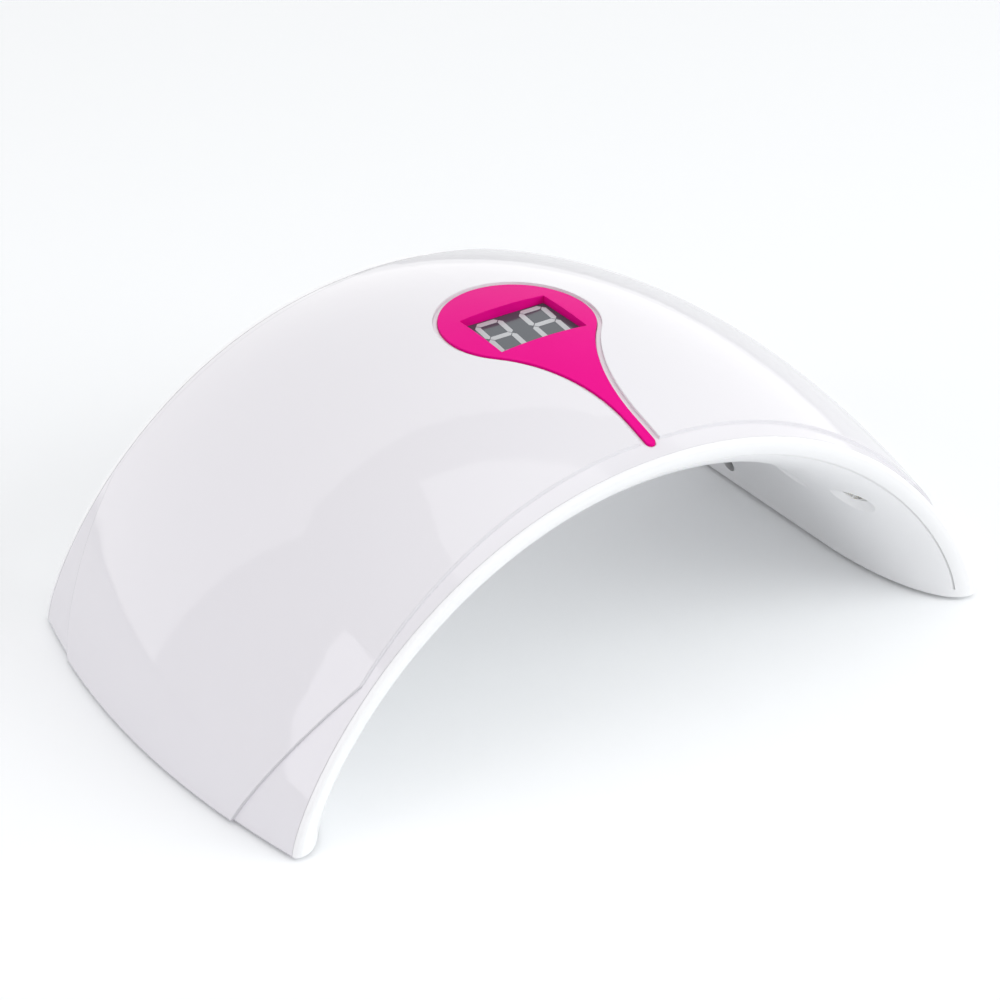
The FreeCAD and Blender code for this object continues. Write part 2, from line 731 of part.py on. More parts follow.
foot_x = size["tunnel_width"] / 2 + size["foot_margin"]
foot_spots = [
    Vector(side * foot_x, cover_middle + end * size["foot_depth"], 0)
    for side in (-1, 1)
    for end in (-1, 1)
]
for spot in foot_spots:
    seat = cylinder(size["foot_diameter"] + 2 * size["joint_gap"], spot, UP,
                    sole_bottom + size["foot_recess"])
    liner_solid = liner_solid.cut(seat)
for spot in screw_spots:
    hole = cylinder(size["cover_screw_diameter"] + size["screw_hole_play"], spot, UP,
                    sole_top + 1)
    sink_depth = sole_bottom + size["cover_screw_head_height"] + size["joint_gap"]
    sink = cylinder(size["cover_screw_head"] + size["screw_hole_play"], spot, UP, sink_depth)
    liner_solid = liner_solid.cut(hole.fuse(sink))

slot_half_width = size["button_width"] / 2 + size["button_play"]
slot_half_height = size["button_height"] / 2 + size["button_play"]
button_x = size["button_spacing"] / 2
for side in (-1, 1):
    slot = box(
        (side * button_x - slot_half_width, side * button_x + slot_half_width),
        (flange_inner - 1, rear + 1),
        (switch_axis_height - slot_half_height, switch_axis_height + slot_half_height),
    )
    liner_solid = liner_solid.cut(slot)
socket_hole = cylinder(
    size["socket_barrel"] + 2 * size["joint_gap"],
    Vector(0, flange_inner - 1, socket_axis_height),
    REARWARD,
    size["rear_flange"] + 2,
)
liner_solid = liner_solid.cut(socket_hole)
inner_liner = shaped("inner_liner", liner_solid)


# ------------------------------------------------------------ display bezel
# A thin keyhole plate that follows the cover, with walls round the window
# that reach down to the display.

bezel_face = cover_vault(size["bezel_inset"])
bezel_back = cover_vault(size["bezel_inset"] + size["bezel_thickness"])
bezel_solid = bezel_plan.common(bezel_face).cut(bezel_back)
collar = window_column(size["bezel_wall"]).common(bezel_face)
collar = collar.cut(
    box((-BEYOND, BEYOND), (-BEYOND, BEYOND), (-1, display_top + size["joint_gap"]))
)
bezel_solid = bezel_solid.fuse(collar).cut(window_column(0))
display_bezel = shaped("display_bezel", bezel_solid)


# ---------------------------------------------------- two-digit display
# The case stands on socket strips on the control board. Its grey face has
# fourteen cast bars, seven to a digit, drawn slanted.

def bar_outline(length, along_depth):
    """Pointed bar of a digit about the origin, with half the gap off each end."""
    half_width = size["segment_width"] / 2
    half_length = length / 2 - size["segment_gap"] / 2
    shoulder = half_length - half_width
    ring = [
        (-half_length, 0),
        (-shoulder, half_width),
        (shoulder, half_width),
        (half_length, 0),
        (shoulder, -half_width),
        (-shoulder, -half_width),
    ]
    return [(y, x) for x, y in ring] if along_depth else ring


def digit_bars(middle_x):
    """The seven cast bars of one digit."""
    reach_x = (size["digit_width"] - size["segment_width"]) / 2
    reach_y = (size["digit_height"] - size["segment_width"]) / 2
    across = [(0, y, False) for y in (-reach_y, 0, reach_y)]
    upright = [(x, y, True) for x in (-reach_x, reach_x) for y in (-reach_y / 2, reach_y / 2)]
    slant = math.tan(math.radians(size["digit_slant_angle"]))
    bars = []
    for x, y, along_depth in across + upright:
        outline = bar_outline(reach_y if along_depth else 2 * reach_x, along_depth)
        ring = []
        for bar_x, bar_y in outline:
            lean = (y + bar_y) * slant
            ring.append(Vector(
                middle_x + x + bar_x + lean,
                size["window_centre"] + y + bar_y,
                display_top - size["segment_thickness"],
            ))
        face = Part.Face(Part.makePolygon(ring + ring[:1]))
        bars.append(face.extrude(UP * size["segment_thickness"]))
    return bars


bars = digit_bars(-size["digit_pitch"] / 2) + digit_bars(size["digit_pitch"] / 2)
display_segments = shaped("display_segments", Part.makeCompound(bars))

half_display = (size["display_width"] / 2, size["display_depth"] / 2)
display_case = box(
    (-half_display[0], half_display[0]),
    (size["window_centre"] - half_display[1], size["window_centre"] + half_display[1]),
    (display_bottom, display_top),
)
display_module = shaped("display_module", display_case.cut(display_segments.Shape))

row_reach = size["display_depth"] / 2 - size["header_width"] / 2 - size["pin_row_margin"]
pin_rows = (size["window_centre"] - row_reach, size["window_centre"] + row_reach)


def pin_field(width, bottom, top):
    """Square columns at the ten pin places."""
    return [
        box(
            (i * size["pin_pitch"] - width / 2, i * size["pin_pitch"] + width / 2),
            (row_y - width / 2, row_y + width / 2),
            (bottom, top),
        )
        for row_y in pin_rows
        for i in range(-2, 3)
    ]


pins = pin_field(size["pin_width"], display_bottom - size["pin_length"], display_bottom)
display_pins = shaped("display_pins", Part.makeCompound(pins))
pin_wells = Part.makeCompound(
    pin_field(
        size["pin_width"] + 2 * size["joint_gap"],
        display_bottom - size["pin_length"] - 0.5,
        display_bottom + 1,
    )
)
strips = [
    box(
        (-size["header_length"] / 2, size["header_length"] / 2),
        (row_y - size["header_width"] / 2, row_y + size["header_width"] / 2),
        (board_top, display_bottom),
    ).cut(pin_wells)
    for row_y in pin_rows
]
display_sockets = shaped("display_sockets", Part.makeCompound(strips))


# ------------------------------------------------------------ control board

BOARD_BOTTOM = "(tunnel_height + board_gap)"
BOARD_TOP = "(tunnel_height + board_gap + board_thickness)"
REAR = "(overall_depth / 2 - button_proud)"
FLANGE_INNER = f"({REAR} - rear_flange)"
CAP_ROOT = f"({FLANGE_INNER} - button_rest_gap - button_rim_thickness)"
SWITCH_REAR = f"({CAP_ROOT} - plunger_length)"
BOARD_REAR = f"({SWITCH_REAR} + board_overhang)"
NOTCH_FRONT = f"({REAR} - socket_length - 2 * joint_gap)"

control_board = new_body("control_board")
board_outline = new_sketch(control_board, "board_outline", offset=BOARD_BOTTOM)
add_rectangle(
    board_outline,
    "board_width",
    f"{BOARD_REAR} - board_front",
    x="0",
    y=f"({BOARD_REAR} + board_front) / 2",
)
pad(control_board, board_outline, "board_thickness")
board_holes = new_sketch(control_board, "board_holes", offset=BOARD_BOTTOM)
for side in ("", "-"):
    for depth in ("board_post_front", "board_post_rear"):
        add_circle(
            board_holes,
            "board_screw_diameter + screw_hole_play",
            x=f"{side}board_post_spacing / 2",
            y=depth,
        )
pocket(control_board, board_holes, "board_thickness", reversed_=True)
socket_notch = new_sketch(control_board, "socket_notch", offset=BOARD_BOTTOM)
add_rectangle(
    socket_notch,
    "socket_width + 4 * joint_gap",
    f"{BOARD_REAR} - {NOTCH_FRONT} + 2",
    x="0",
    y=f"({BOARD_REAR} + {NOTCH_FRONT}) / 2 + 1",
)
pocket(control_board, socket_notch, "board_thickness", reversed_=True)


def component(name, length, width, height, x, y):
    """Block on the board, sized and placed in plain millimetres of the sheet."""
    part = node(name, doc.addObject("Part::Box", name))
    for prop, expression in (("Length", length), ("Width", width), ("Height", height)):
        part.setExpression(prop, tied(expression))
    place(part, x=f"{x} - ({length}) / 2", y=f"{y} - ({width}) / 2", z=BOARD_TOP)
    return part


component(
    "controller_chip", "chip_length", "chip_width", "chip_height", "chip_across", "chip_depth"
)
component("power_coil", "coil_size", "coil_size", "coil_height", "coil_across", "chip_depth")
component(
    "lead_connector",
    "connector_length",
    "connector_width",
    "connector_height",
    "0",
    "board_front + connector_width",
)
capacitor = new_body("storage_capacitor")
can_outline = new_sketch(capacitor, "can_outline")
add_circle(can_outline, "capacitor_diameter")
pad(capacitor, can_outline, "capacitor_height")
place(capacitor, x="capacitor_across", y="chip_depth", z=BOARD_TOP)


# ------------------------------------------------------------- power socket
# Case behind the rear flange, round nose through the flange, and a centre pin.

CASE_REAR = f"({FLANGE_INNER} - 2 * joint_gap)"
SOCKET_AXIS = f"({BOARD_TOP} + socket_rise)"

power_socket = new_body("power_socket")
case_outline = new_sketch(power_socket, "case_outline", "XZ_Plane")
add_rectangle(case_outline, "socket_width", "socket_height")
pad(power_socket, case_outline, f"socket_length - rear_flange - 2 * joint_gap")
nose_outline = new_sketch(power_socket, "nose_outline", "XZ_Plane")
add_circle(nose_outline, "socket_barrel")
pad(power_socket, nose_outline, "rear_flange + 2 * joint_gap", reversed_=True)
mouth_outline = new_sketch(
    power_socket, "mouth_outline", "XZ_Plane", offset="-rear_flange - 2 * joint_gap"
)
add_circle(mouth_outline, "socket_bore")
pocket(power_socket, mouth_outline, "socket_bore_depth", reversed_=True)
place(power_socket, y=CASE_REAR, z=SOCKET_AXIS)

socket_pin = node("power_socket_pin", doc.addObject("Part::Cylinder", "power_socket_pin"))
socket_pin.setExpression("Radius", tied("socket_pin_diameter / 2"))
socket_pin.setExpression("Height", tied("socket_pin_length"))
socket_pin.Placement = Placement(Vector(0, 0, 0), Rotation(RIGHT, -90))
place(socket_pin, y=f"{REAR} - socket_bore_depth", z=SOCKET_AXIS)


# -------------------------------------------------- timer buttons, switches

def timer_button(name, side):
    """Cap in the rear flange, held in by a rim; it moves towards the front."""
    button = new_body(name)
    rim = new_sketch(button, name + "_rim", "XZ_Plane")
    add_rectangle(rim, "button_width + 2 * button_rim", "button_height + 2 * button_rim")
    pad(button, rim, "button_rim_thickness", reversed_=True)
    cap = new_sketch(button, name + "_cap", "XZ_Plane")
    add_rectangle(cap, "button_width", "button_height")
    pad(
        button,
        cap,
        "button_rim_thickness + button_rest_gap + rear_flange + button_proud",
        reversed_=True,
    )
    place(
        button,
        x=f"{side}button_spacing / 2",
        y=CAP_ROOT,
        z=f"{BOARD_TOP} + switch_axis",
    )
    return button


def tact_switch(name, side):
    """Switch case that lies on the board, with the well of its plunger."""
    switch = new_body(name)
    case = new_sketch(switch, name + "_case", "XZ_Plane")
    add_rectangle(case, "switch_width", "switch_height", x="0", y="switch_height / 2")
    pad(switch, case, "switch_depth")
    well = new_sketch(switch, name + "_well", "XZ_Plane")
    add_circle(well, "plunger_diameter + 2 * joint_gap", x="0", y="switch_axis")
    pocket(switch, well, "plunger_root + button_travel + joint_gap", reversed_=True)
    place(switch, x=f"{side}button_spacing / 2", y=SWITCH_REAR, z=BOARD_TOP)
    return switch


def switch_plunger(name, side):
    """Round plunger between the switch and the button cap."""
    plunger = new_body(name)
    outline = new_sketch(plunger, name + "_round", "XZ_Plane")
    add_circle(outline, "plunger_diameter")
    pad(plunger, outline, "plunger_length + plunger_root", reversed_=True)
    place(
        plunger,
        x=f"{side}button_spacing / 2",
        y=f"{SWITCH_REAR} - plunger_root",
        z=f"{BOARD_TOP} + switch_axis",
    )
    return plunger


for hand, side in (("left", "-"), ("right", "")):
    timer_button(f"timer_button_{hand}", side)
    tact_switch(f"tact_switch_{hand}", side)
    switch_plunger(f"switch_plunger_{hand}", side)


# -------------------------------------------------------- ultraviolet beads
# Each bead has its own small aluminium board, seated on a pad behind the
# tunnel; the bead looks out through the dish.

def spread(name, shape, frames):
    """Copies of one shape at several frames, as one sub-part of separate solids."""
    return shaped(name, Part.makeCompound([at_frame(shape, frame) for frame in frames]))


def square_block(width, bottom, height):
    return box((-width / 2, width / 2), (-width / 2, width / 2), (bottom, bottom + height))


board_seat = size["seat_height"]
bead_face = board_seat - size["bead_height"]
phosphor_face = bead_face - size["phosphor_height"]
spread(
    "bead_boards",
    square_block(size["bead_board_size"], board_seat, size["bead_board_thickness"]),
    bead_frames,
)
spread("bead_cases", square_block(size["bead_size"], bead_face, size["bead_height"]), bead_frames)
phosphor = square_block(size["phosphor_diameter"], phosphor_face, size["phosphor_height"])
spread("bead_phosphors", phosphor, bead_frames)
half_lens = size["lens_diameter"] / 2
ball_radius = (half_lens ** 2 + size["lens_height"] ** 2) / (2 * size["lens_height"])
ball = Part.makeSphere(ball_radius, UP * (bead_face - size["lens_height"] + ball_radius))
lens = ball.common(cylinder(size["lens_diameter"], UP * bead_face, UP * -1, size["lens_height"]))
spread("bead_lenses", lens.cut(phosphor), bead_frames)


# -------------------------------------------------------------- hand sensor
# An infrared emitter on one side of the tunnel and a receiver on the other.

def infrared_package(name, side):
    """Round-nosed package with a rim at its root, pointing across the tunnel."""
    package = new_body(name)
    barrel = new_sketch(package, name + "_barrel")
    add_circle(barrel, "sensor_diameter")
    straight = pad(package, barrel, "sensor_length")
    doc.recompute()
    nose_edges = [
        f"Edge{i}" for i, edge in enumerate(straight.Shape.Edges, start=1)
        if edge.CenterOfMass.z < 0.01
    ]
    nose = package.newObject("PartDesign::Fillet", name + "_nose")
    nose.Base = (straight, nose_edges)
    nose.setExpression("Radius", tied("sensor_diameter * 0.46"))
    rim = new_sketch(package, name + "_rim", offset="sensor_length - sensor_rim_thickness")
    add_circle(rim, "sensor_rim")
    pad(package, rim, "sensor_rim_thickness")
    package.Placement = Placement(Vector(0, 0, 0), Rotation(UP, RIGHT * side))
    package.setExpression(".Placement.Base.y", tied("sensor_depth"))
    package.setExpression(".Placement.Base.z", tied("sensor_height"))
    package.Placement.Base.x = side * sensor_nose
    return package


infrared_package("infrared_emitter", -1)
infrared_package("infrared_receiver", 1)
lead_offset = size["sensor_diameter"] / 4
sensor_leads = [
    cylinder(
        size["sensor_lead"],
        Vector(side * (sensor_nose + size["sensor_length"]), 0, 0)
        + sensor_spot + REARWARD * offset,
        RIGHT * side,
        size["sensor_lead_length"],
    )
    for side in (-1, 1)
    for offset in (-lead_offset, lead_offset)
]
shaped("infrared_leads", Part.makeCompound(sensor_leads))


# -------------------------------------------------------- fixings and feet

def template(name):
    """Body that is only a pattern for copies, and is not a sub-part itself."""
    return doc.addObject("PartDesign::Body", name)


def screw_template(name, diameter, length, head, head_height):
    """Pan-headed screw, point down, with the underside of its head at Z = 0."""
    screw = template(name)
    revolve(screw, name + "_profile", [
        ("0", f"-({length})"),
        (f"({diameter}) / 2", f"-({length})"),
        (f"({diameter}) / 2", "0"),
        (f"({head}) / 2", "0"),
        (f"({head}) / 2", head_height),
        ("0", head_height),
    ])
    return screw


board_screw = screw_template(
    "board_screw",
    "board_screw_diameter",
    "board_screw_length",
    "board_screw_diameter * 1.9",
    "board_screw_diameter * 0.6",
)
cover_screw = screw_template(
    "cover_screw",
    "cover_screw_diameter",
    "cover_screw_length",
    "cover_screw_head",
    "cover_screw_head_height",
)
foot = template("foot")
revolve(foot, "foot_profile", [
    ("0", "0"),
    ("foot_diameter / 2 - foot_edge", "0"),
    ("foot_diameter / 2", "foot_edge"),
    ("foot_diameter / 2", "ground_clearance + foot_recess"),
    ("0", "ground_clearance + foot_recess"),
])
doc.recompute()

board_screw_frames = [Placement(spot + UP * board_top, Rotation()) for spot in post_spots]
spread("board_screws", board_screw.Shape, board_screw_frames)
head_seat = sole_bottom + size["cover_screw_head_height"] + size["joint_gap"]
upside_down = Rotation(RIGHT, 180)
cover_screw_frames = [Placement(spot + UP * head_seat, upside_down) for spot in screw_spots]
spread("cover_screws", cover_screw.Shape, cover_screw_frames)
spread("rubber_feet", foot.Shape, [Placement(spot, Rotation()) for spot in foot_spots])


# ------------------------------------------------------------------- output
doc.recompute()
os.makedirs("parts", exist_ok=True)
for obj in doc.Objects:
    if "Invalid" in obj.State or "Error" in obj.State:
        raise RuntimeError(f"{obj.Label} did not recompute: {obj.State}")
for obj in nodes:
    if obj.Shape.isNull() or not obj.Shape.isValid():
        raise RuntimeError(f"{obj.Label} has no valid shape")
for obj in nodes:
    obj.Shape.exportStep(os.path.join("parts", obj.Label + ".step"))
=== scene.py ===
import bmesh
import bpy
from mathutils import Matrix, Vector


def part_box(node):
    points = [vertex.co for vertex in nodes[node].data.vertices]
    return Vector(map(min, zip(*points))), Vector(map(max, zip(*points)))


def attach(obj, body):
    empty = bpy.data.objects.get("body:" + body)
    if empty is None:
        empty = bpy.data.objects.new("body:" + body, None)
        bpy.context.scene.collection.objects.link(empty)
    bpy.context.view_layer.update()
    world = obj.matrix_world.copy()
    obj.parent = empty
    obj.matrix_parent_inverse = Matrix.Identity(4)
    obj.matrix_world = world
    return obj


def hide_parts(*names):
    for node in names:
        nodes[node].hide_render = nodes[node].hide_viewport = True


# An arched table-top lamp that cures nail gel. +Z is up, the hand goes in
# from -Y, and every length is in metres.

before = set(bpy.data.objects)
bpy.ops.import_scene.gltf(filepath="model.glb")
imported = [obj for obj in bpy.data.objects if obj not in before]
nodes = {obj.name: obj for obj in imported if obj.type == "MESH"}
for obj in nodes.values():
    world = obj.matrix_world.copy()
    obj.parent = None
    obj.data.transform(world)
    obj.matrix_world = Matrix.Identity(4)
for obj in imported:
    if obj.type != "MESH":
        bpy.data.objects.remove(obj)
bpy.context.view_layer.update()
MM = 0.001


# Outer cover. Real piece: an injection-moulded ABS shell, polished mould, so
# it is glossy white with the faintest ripple in its reflections. Screwed to
# the liner from below.

def srgb(hex_value):
    """Linear colour of an sRGB hex value such as "#F2F1F5"."""
    shares = [int(hex_value[i:i + 2], 16) / 255 for i in (1, 3, 5)]
    linear = [s / 12.92 if s <= 0.04045 else ((s + 0.055) / 1.055) ** 2.4 for s in shares]
    return (*linear, 1.0)


def add(material, kind, settings=None, joins=None):
    """A node with its settings, its inputs joined to other nodes' outputs."""
    made = material.node_tree.nodes.new(kind)
    for name, value in (settings or {}).items():
        if name in made.inputs:
            made.inputs[name].default_value = value
        else:
            setattr(made, name, value)
    for name, source in (joins or {}).items():
        material.node_tree.links.new(source, made.inputs[name])
    return made


def surface(
    name, colour, second, patch, roughness, spread, grain, depth, edge=None, **sockets
):
    """Surface with two near colours in soft patches and a fine relief.

    patch and grain are sizes of the pattern, depth is the height of the relief,
    and edge is the radius that the mould leaves on sharp edges.
    """
    material = bpy.data.materials.new(name)
    material.use_nodes = True
    shader = material.node_tree.nodes["Principled BSDF"]
    for socket, value in sockets.items():
        shader.inputs[socket.replace("_", " ")].default_value = value
    join = material.node_tree.links.new
    place = add(material, "ShaderNodeTexCoord").outputs["Object"]
    clouds = add(
        material,
        "ShaderNodeTexNoise",
        {"Scale": 1 / patch, "Detail": 2.0},
        {"Vector": place},
    )
    tint = add(
        material,
        "ShaderNodeMix",
        {"data_type": "RGBA"},
        {"Factor": clouds.outputs["Fac"]},
    )
    colours = [socket for socket in tint.inputs if socket.type == "RGBA"]
    colours[0].default_value = srgb(colour)
    colours[1].default_value = srgb(second)
    join(tint.outputs[2], shader.inputs["Base Color"])
    relief = add(
        material,
        "ShaderNodeTexNoise",
        {"Scale": 1 / grain, "Detail": 3.0},
        {"Vector": place},
    )
    gloss = add(
        material,
        "ShaderNodeMapRange",
        {"To Min": roughness - spread, "To Max": roughness + spread},
        {"Value": relief.outputs["Fac"]},
    )
    join(gloss.outputs["Result"], shader.inputs["Roughness"])
    bump = add(
        material,
        "ShaderNodeBump",
        {"Distance": depth},
        {"Height": relief.outputs["Fac"]},
    )
    if edge:
        rounded = add(material, "ShaderNodeBevel", {"Radius": edge, "samples": 6})
        join(rounded.outputs["Normal"], bump.inputs["Normal"])
    join(bump.outputs["Normal"], shader.inputs["Normal"])
    return material


def finish(material, *names):
    """Give these CAD nodes this material."""
    for name in names:
        nodes[name].data.materials.clear()
        nodes[name].data.materials.append(material)


# Polished ABS: sharp soft-box reflections, and edges that the mould rounds.
gloss_abs = surface(
    "moulded_gloss_abs", "#E6E4E9", "#E8E6EA", 60 * MM, 0.05, 0.01, 3 * MM, 0.002 * MM,
    edge=0.5 * MM,
)
finish(gloss_abs, "outer_cover")


# Inner liner. Real piece: the hand tunnel with its rolled lip and the dishes
# for the beads, injection-moulded in white ABS in a spark-eroded mould, so it
# is satin and spreads the beads' light.

satin_abs = surface(
    "moulded_satin_abs", "#F7F7F9", "#F9F9FA", 60 * MM, 0.32, 0.03, 0.6 * MM, 0.01 * MM,
)
finish(satin_abs, "inner_liner")


# Bezel. Real piece: a keyhole-shaped ABS moulding, glued into its channel and
# sprayed magenta, so its colour is deep and its highlights are broad and weak.

magenta = surface(
    "satin_painted_bezel", "#EA078B", "#EE0990", 12 * MM, 0.45, 0.05, 0.35 * MM, 0.012 * MM,
    edge=0.3 * MM, Specular_IOR_Level=0.04,
)
finish(magenta, "display_bezel")


# Display. Real piece: a two-digit seven-segment display, its dark case filled
# with cast epoxy and its fourteen bars moulded in a pale diffuser, with a
# decimal point at each digit. Its face stands just under the bezel's window.

FACE_WIDTH = 24.4 * MM
FACE_DEPTH = 18.0 * MM
FACE_RISE = 2.7 * MM
FACE_BEVEL = 0.25 * MM
POINT_RADIUS = 0.7 * MM
POINT_OFFSET = (5.2 * MM, -8.1 * MM)
POINT_PITCH = 12.7 * MM
POINT_DEPTH = 0.6 * MM
POINT_BEVEL = 0.02 * MM
POINT_SIDES = 24
SHARP_EDGE = 1.0
BARS_PROUD = 0.03 * MM
FACE_EMBEDDED = 0.5 * MM
WELD_DISTANCE = 0.001 * MM
BAR_STRETCH = 1.17

case_low, case_high = (Vector(corner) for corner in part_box("display_module"))
case_middle = (case_low + case_high) / 2


def placed(name, shape, material, body):
    """A new piece of the object from a bmesh, with its material and its body."""
    mesh = bpy.data.meshes.new(name)
    shape.to_mesh(mesh)
    shape.free()
    mesh.materials.append(material)
    piece = bpy.data.objects.new(name, mesh)
    bpy.context.scene.collection.objects.link(piece)
    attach(piece, body)
    return piece


# Cast epoxy, self-levelled: a dark slate grey that mirrors the room softly.
display_case = surface(
    "cast_slate_epoxy", "#40464E", "#454B53", 8 * MM, 0.14, 0.02, 1.5 * MM, 0.004 * MM,
    Specular_IOR_Level=0.3,
)
finish(display_case, "display_module")

face_shape = bmesh.new()
bmesh.ops.create_cube(face_shape, size=1.0)
bmesh.ops.scale(
    face_shape,
    vec=(FACE_WIDTH, FACE_DEPTH, FACE_RISE + FACE_EMBEDDED),
    verts=face_shape.verts,
)
bmesh.ops.translate(
    face_shape,
    vec=(case_middle.x, case_middle.y, case_high.z + (FACE_RISE - FACE_EMBEDDED) / 2),
    verts=face_shape.verts,
)
bmesh.ops.bevel(
    face_shape,
    geom=face_shape.edges[:],
    offset=FACE_BEVEL,
    offset_type="OFFSET",
    segments=3,
    profile=0.5,
    affect="EDGES",
    material=-1,
)
placed("display_face", face_shape, display_case, "housing")

# Diffuser resin, pale grey when unlit and matt from the mould.
display_bars = surface(
    "diffuser_resin", "#B4B8BB", "#BABDC0", 4 * MM, 0.3, 0.03, 0.4 * MM, 0.004 * MM,
)
finish(display_bars, "display_segments")

bar_shape = bmesh.new()
bar_shape.from_mesh(nodes["display_segments"].data)
bmesh.ops.remove_doubles(bar_shape, verts=bar_shape.verts, dist=WELD_DISTANCE)
bmesh.ops.scale(
    bar_shape,
    vec=(1.0, BAR_STRETCH, 1.0),
    verts=bar_shape.verts,
    space=Matrix.Translation(-case_middle),
)
bmesh.ops.translate(bar_shape, vec=(0, 0, FACE_RISE + BARS_PROUD), verts=bar_shape.verts)
raised_bars = placed("raised_bars", bar_shape, display_bars, "housing")
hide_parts("display_segments")

point_shape = bmesh.new()
for side in (-1, 1):
    bmesh.ops.create_cone(
        point_shape,
        cap_ends=True,
        segments=POINT_SIDES,
        radius1=POINT_RADIUS,
        radius2=POINT_RADIUS,
        depth=POINT_DEPTH,
        matrix=Matrix.Translation((
            case_middle.x + side * POINT_PITCH / 2 + POINT_OFFSET[0],
            case_middle.y + POINT_OFFSET[1],
            case_high.z + FACE_RISE + BARS_PROUD - POINT_DEPTH / 2,
        )),
    )
rims = [edge for edge in point_shape.edges if edge.calc_face_angle() > SHARP_EDGE]
bmesh.ops.bevel(
    point_shape,
    geom=rims,
    offset=POINT_BEVEL,
    offset_type="OFFSET",
    segments=1,
    profile=0.5,
    affect="EDGES",
    material=-1,
)
placed("decimal_points", point_shape, display_bars, "housing")


# Timer buttons and switches. Real pieces: two push caps moulded in pale grey
# ABS, each on the plunger of a tact switch soldered to the control board.

button_abs = surface(
    "moulded_button_abs", "#DCDCE0", "#DFDFE3", 6 * MM, 0.3, 0.03, 0.4 * MM, 0.01 * MM,
)
finish(button_abs, "timer_button_left", "timer_button_right")


# Socket, chip and coil. Real pieces: parts bought in, moulded in black nylon
# and epoxy, which is matt and slightly uneven, with tinned steel contacts.

black_plastic = surface(
    "black_nylon", "#17181A", "#1C1D1F", 6 * MM, 0.4, 0.05, 0.4 * MM, 0.01 * MM,
)
finish(
    black_plastic,
    "power_socket",
    "tact_switch_left",
    "tact_switch_right",
    "switch_plunger_left",
    "switch_plunger_right",
    "display_sockets",
    "controller_chip",
    "power_coil",
)

# Bright tin plating: a clear but slightly clouded metal reflection.
steel = surface(
    "tinned_steel", "#C9C8C4", "#BDBCB8", 3 * MM, 0.25, 0.05, 0.3 * MM, 0.004 * MM,
    Metallic=1.0,
)
finish(
    steel,
    "power_socket_pin",
    "display_pins",
    "infrared_leads",
    "board_screws",
    "cover_screws",
    "storage_capacitor",
)


# Control board. Real piece: glass-fibre laminate under green solder resist,
# screwed to posts of the liner, with a white nylon plug for the bead leads.

board = surface(
    "green_circuit_board", "#1F5B36", "#24653D", 5 * MM, 0.35, 0.05, 0.8 * MM, 0.02 * MM,
)
finish(board, "control_board")
finish(satin_abs, "lead_connector")


# Infrared pair. Real pieces: an emitter and a receiver cast in epoxy, facing
# each other across the tunnel, where they notice the hand.

# Cast water-clear epoxy passes the beam, and dyed near-black epoxy keeps
# daylight off the receiver.
clear_epoxy = surface(
    "cast_clear_epoxy", "#E9ECF2", "#E3E7EE", 2 * MM, 0.06, 0.01, 1.5 * MM, 0.002 * MM,
    Transmission_Weight=0.85, IOR=1.54,
)
finish(clear_epoxy, "infrared_emitter")
dyed_epoxy = surface(
    "cast_dyed_epoxy", "#1B1116", "#20151A", 2 * MM, 0.08, 0.02, 1.5 * MM, 0.002 * MM,
)
finish(dyed_epoxy, "infrared_receiver")


# Beads. Real pieces: ultraviolet diodes on small aluminium boards glued behind
# the liner, each with a yellow phosphor disc under a clear silicone lens.

# White-coated aluminium: pale and satin, with a faint tooth.
aluminium = surface(
    "aluminium_bead_board", "#F2F2EE", "#E8E8E4", 3 * MM, 0.4, 0.05, 0.5 * MM, 0.01 * MM,
)
finish(aluminium, "bead_boards", "bead_cases")

# Phosphor in gel: a strong matt yellow.
phosphor = surface(
    "phosphor_gel", "#E8D75A", "#DCC94A", 1 * MM, 0.5, 0.05, 0.3 * MM, 0.02 * MM,
)
finish(phosphor, "bead_phosphors")

# Clear silicone: see-through, with a soft rim of reflection.
lens = surface(
    "clear_silicone", "#FFFFFF", "#FDFDFD", 1 * MM, 0.05, 0.01, 2 * MM, 0.002 * MM,
    Transmission_Weight=1.0, IOR=1.41,
)
finish(lens, "bead_lenses")


# Feet. Real pieces: four discs of dark rubber, glued under the legs; the
# rubber is matt and takes up dust.

rubber = surface(
    "feet_rubber", "#2A2A2C", "#303032", 3 * MM, 0.7, 0.05, 0.4 * MM, 0.02 * MM,
)
finish(rubber, "rubber_feet")


# Floor. A pale seamless table, a little lighter to the camera than its light
# makes it, which keeps the lamp's shadow soft.

FLOOR_REACH = 6.0
FLOOR_LIFT = 0.04

floor_mesh = bpy.data.meshes.new("table")
shape = bmesh.new()
bmesh.ops.create_grid(shape, x_segments=1, y_segments=1, size=FLOOR_REACH)
shape.to_mesh(floor_mesh)
shape.free()
floor = bpy.data.objects.new("table", floor_mesh)
bpy.context.scene.collection.objects.link(floor)
floor_paint = surface(
    "table_paint", "#FAFCFE", "#FCFDFE", 500 * MM, 0.6, 0.02, 5 * MM, 0.01 * MM,
    Specular_IOR_Level=0.2,
)
seen = add(floor_paint, "ShaderNodeLightPath").outputs["Is Camera Ray"]
lift = add(floor_paint, "ShaderNodeMath", {"operation": "MULTIPLY"})
lift.inputs[1].default_value = FLOOR_LIFT
floor_paint.node_tree.links.new(seen, lift.inputs[0])
floor_shader = floor_paint.node_tree.nodes["Principled BSDF"]
floor_shader.inputs["Emission Color"].default_value = (1.0, 1.0, 1.0, 1.0)
floor_paint.node_tree.links.new(lift.outputs[0], floor_shader.inputs["Emission Strength"])
floor_mesh.materials.append(floor_paint)


# Room. White to the camera and in reflections; what it adds to the light on
# the lamp is weaker, so that white plastic keeps its shading.

ROOM_LIGHT = 0.54

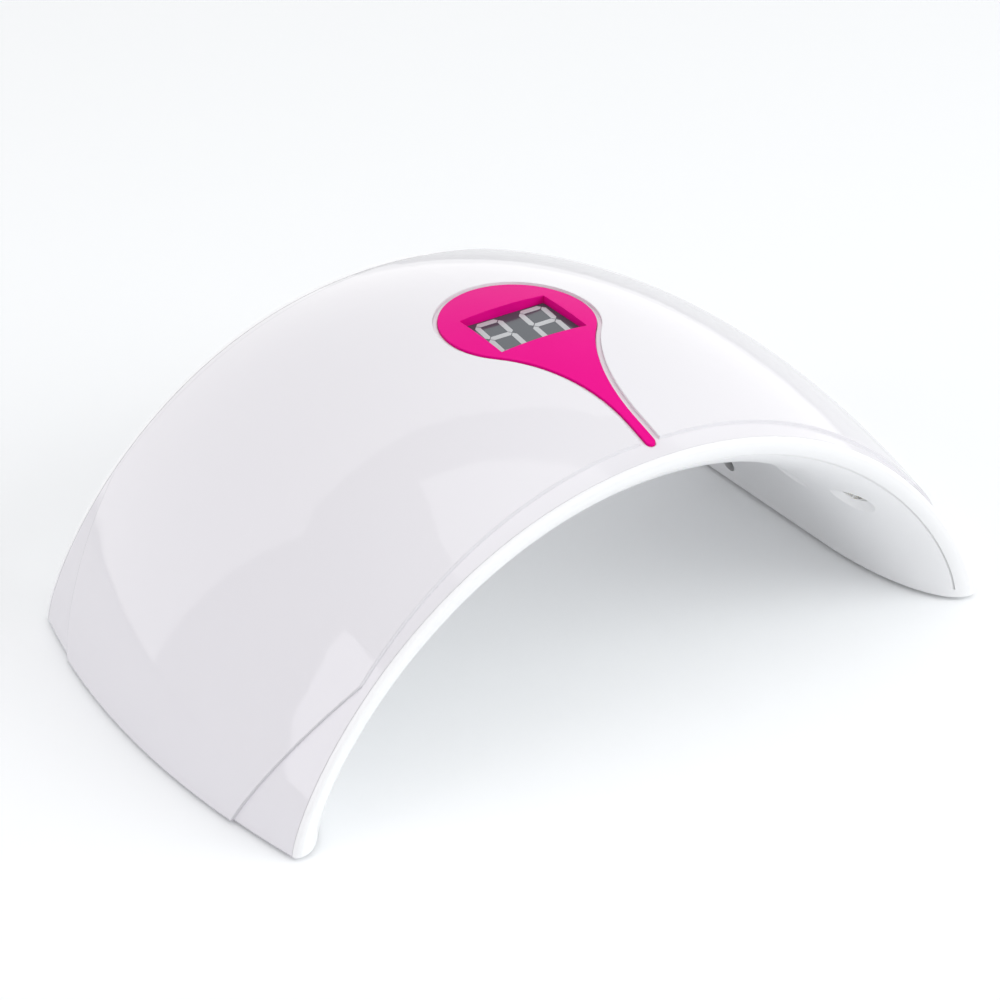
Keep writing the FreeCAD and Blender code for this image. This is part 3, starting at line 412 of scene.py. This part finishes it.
world = bpy.data.worlds.new("studio")
bpy.context.scene.world = world
world.use_nodes = True
sky = world.node_tree
room = sky.nodes["Background"]
room.inputs["Color"].default_value = (1.0, 1.0, 1.0, 1.0)
room.inputs["Strength"].default_value = ROOM_LIGHT
backdrop = sky.nodes.new("ShaderNodeBackground")
backdrop.inputs["Color"].default_value = (1.0, 1.0, 1.0, 1.0)
backdrop.inputs["Strength"].default_value = 1.0
ray = sky.nodes.new("ShaderNodeLightPath")
either = sky.nodes.new("ShaderNodeMixShader")
direct = sky.nodes.new("ShaderNodeMath")
direct.operation = "MAXIMUM"
sky.links.new(ray.outputs["Is Camera Ray"], direct.inputs[0])
sky.links.new(ray.outputs["Is Transmission Ray"], direct.inputs[1])
shown = sky.nodes.new("ShaderNodeMath")
shown.operation = "MAXIMUM"
sky.links.new(direct.outputs["Value"], shown.inputs[0])
sky.links.new(ray.outputs["Is Glossy Ray"], shown.inputs[1])
sky.links.new(shown.outputs["Value"], either.inputs["Fac"])
sky.links.new(room.outputs["Background"], either.inputs[1])
sky.links.new(backdrop.outputs["Background"], either.inputs[2])
sky.links.new(either.outputs["Shader"], sky.nodes["World Output"].inputs["Surface"])


# Lights. Soft rectangular panels: above, in front at the right, low at the
# left, and a wide one behind the lamp that only its reflections show.

def panel(name, place, aim, width, height, power):
    """Soft rectangular light panel."""
    light = bpy.data.lights.new(name, "AREA")
    light.shape = "RECTANGLE"
    light.size = width
    light.size_y = height
    light.energy = power
    lamp = bpy.data.objects.new(name, light)
    lamp.location = place
    lamp.rotation_euler = (Vector(aim) - Vector(place)).to_track_quat("-Z", "Y").to_euler()
    bpy.context.scene.collection.objects.link(lamp)
    return lamp


panel("overhead_panel", (-0.1, -0.2, 1.4), (0, 0, 0.03), 1.4, 1.4, 5.6)
front_glow = panel("front_panel", (1.0, -1.2, 0.8), (0, 0, 0.04), 1.2, 1.2, 13.0)
front_glow.data.color = (0.97, 1.0, 1.0)
left_glow = panel("left_panel", (-1.4, 0.1, 0.6), (0, 0, 0.05), 1.0, 0.9, 4.0)
left_glow.data.color = (1.0, 0.97, 1.02)
backdrop_glow = panel(
    "backdrop_panel", (0.83, 0.97, 1.05), (0.448, 0.05, 1.05), 6.0, 2.1, 26.0
)
backdrop_glow.visible_diffuse = False


# Camera. Above and to the left of the front, looking down on the arch.

LENS = 113.33

camera_data = bpy.data.cameras.new("camera")
camera_data.lens = LENS
camera_data.sensor_width = 36.0
camera_data.clip_start = 0.05
camera = bpy.data.objects.new("camera", camera_data)
eye = Vector((-0.380990, -0.559378, 0.427450))
target = Vector((0.001368, 0.007614, 0.027390))
camera.location = eye
camera.rotation_euler = (target - eye).to_track_quat("-Z", "Y").to_euler()
bpy.context.scene.collection.objects.link(camera)
bpy.context.scene.camera = camera
bpy.context.scene.view_settings.view_transform = "Standard"
